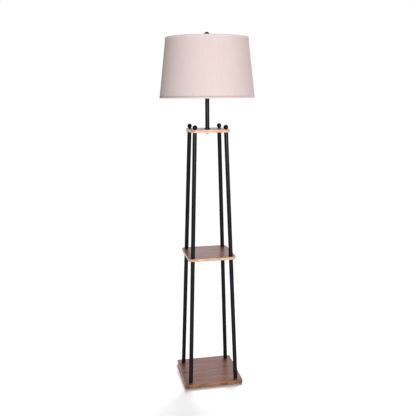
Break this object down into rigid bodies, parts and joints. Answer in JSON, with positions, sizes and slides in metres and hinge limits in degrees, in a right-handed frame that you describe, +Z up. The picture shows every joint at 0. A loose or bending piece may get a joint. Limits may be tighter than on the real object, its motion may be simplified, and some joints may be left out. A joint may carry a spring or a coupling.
{
  "type": "floor lamp",
  "caption": "Floor lamp: square wooden base and shelves clamped on leaning black tubes, with a stem, switched lamp holder, harp and tapered fabric drum shade.",
  "frame": {"origin": "on the floor, under the middle of the stem", "axes": "+Z up along the stem, -Y the front with the switch key, -X the lamp's left as seen from the front"},
  "size_m": [0.4063, 0.4064, 1.5366],
  "materials": {
    "rubber_pad": "matt",
    "walnut_board": "satin walnut veneer",
    "walnut_shelf": "satin walnut veneer with a lighter lacquered edge",
    "black_tube": "satin black powder coat",
    "zinc_fastener": "zinc plated",
    "black_knob": "gloss black lacquer",
    "black_plastic": "moulded",
    "nickel_wire": "nickel plated",
    "nickel_socket": "nickel plated",
    "paper_liner": "matt",
    "brass_contact": "polished",
    "aluminium_screw": "rolled",
    "bulb_white": "moulded",
    "bulb_frost": "frosted",
    "woven_shade": "woven linen look",
    "shade_lining": "matt styrene",
    "shade_wire": "white enamel"
  },
  "bodies": {
    "stand": {"foot_pads": "rubber_pad", "base_board": "walnut_board", "middle_shelf": "walnut_shelf", "top_shelf": "walnut_shelf", "base_washers": "zinc_fastener", "base_bolts": "zinc_fastener", "lower_leg_back_right": "black_tube", "lower_leg_back_left": "black_tube", "lower_leg_front_left": "black_tube", "lower_leg_front_right": "black_tube", "upper_leg_back_right": "black_tube", "upper_leg_back_left": "black_tube", "upper_leg_front_left": "black_tube", "upper_leg_front_right": "black_tube", "lower_leg_bottom_plugs": "zinc_fastener", "lower_leg_top_plugs": "zinc_fastener", "upper_leg_bottom_plugs": "zinc_fastener", "upper_leg_top_plugs": "zinc_fastener", "middle_shelf_studs": "zinc_fastener", "ball_knobs": "black_knob", "stem_tube": "black_tube", "stem_seat_ring": "black_tube", "threaded_pipe": "zinc_fastener", "pipe_washer": "zinc_fastener", "pipe_nut": "zinc_fastener", "cord_bush": "black_plastic", "harp_saddle": "nickel_wire", "harp_wire": "nickel_wire", "harp_seat": "nickel_wire", "socket_cap": "nickel_socket", "cap_set_screw": "zinc_fastener", "socket_shell": "nickel_socket", "socket_liner": "paper_liner", "socket_core": "black_plastic", "terminal_screws": "brass_contact", "screw_shell": "aluminium_screw", "centre_contact": "brass_contact", "bulb_contact": "aluminium_screw", "bulb_insulator": "black_plastic", "bulb_cap": "aluminium_screw", "bulb_housing": "bulb_white", "bulb_globe": "bulb_frost"},
    "sleeve_right": {"harp_sleeve_right": "nickel_wire"},
    "sleeve_left": {"harp_sleeve_left": "nickel_wire"},
    "switch": {"switch_shaft": "brass_contact", "switch_key": "black_plastic"},
    "shade": {"shade_cover": "woven_shade", "shade_lining": "shade_lining", "shade_bottom_hem": "woven_shade", "shade_top_hem": "woven_shade", "shade_bottom_ring": "shade_wire", "shade_spider": "shade_wire"},
    "finial": {"finial": "black_knob"}
  },
  "joints": [
    {"name": "switch_turn", "type": "hinge", "parent": "stand", "child": "switch", "pos_m": [0, -0.03, 1.3075], "axis": [0, -1, 0], "continuous": true},
    {"name": "shade_turn", "type": "hinge", "parent": "stand", "child": "shade", "pos_m": [0, 0, 1.503], "axis": [0, 0, 1], "continuous": true},
    {"name": "finial_turn", "type": "hinge", "parent": "stand", "child": "finial", "pos_m": [0, 0, 1.52], "axis": [0, 0, 1], "continuous": true},
    {"name": "sleeve_left_slide", "type": "slide", "parent": "stand", "child": "sleeve_left", "axis": [0, 0, 1], "range_m": [0, 0.012]},
    {"name": "sleeve_right_slide", "type": "slide", "parent": "stand", "child": "sleeve_right", "axis": [0, 0, 1], "range_m": [0, 0.012]}
  ]
}
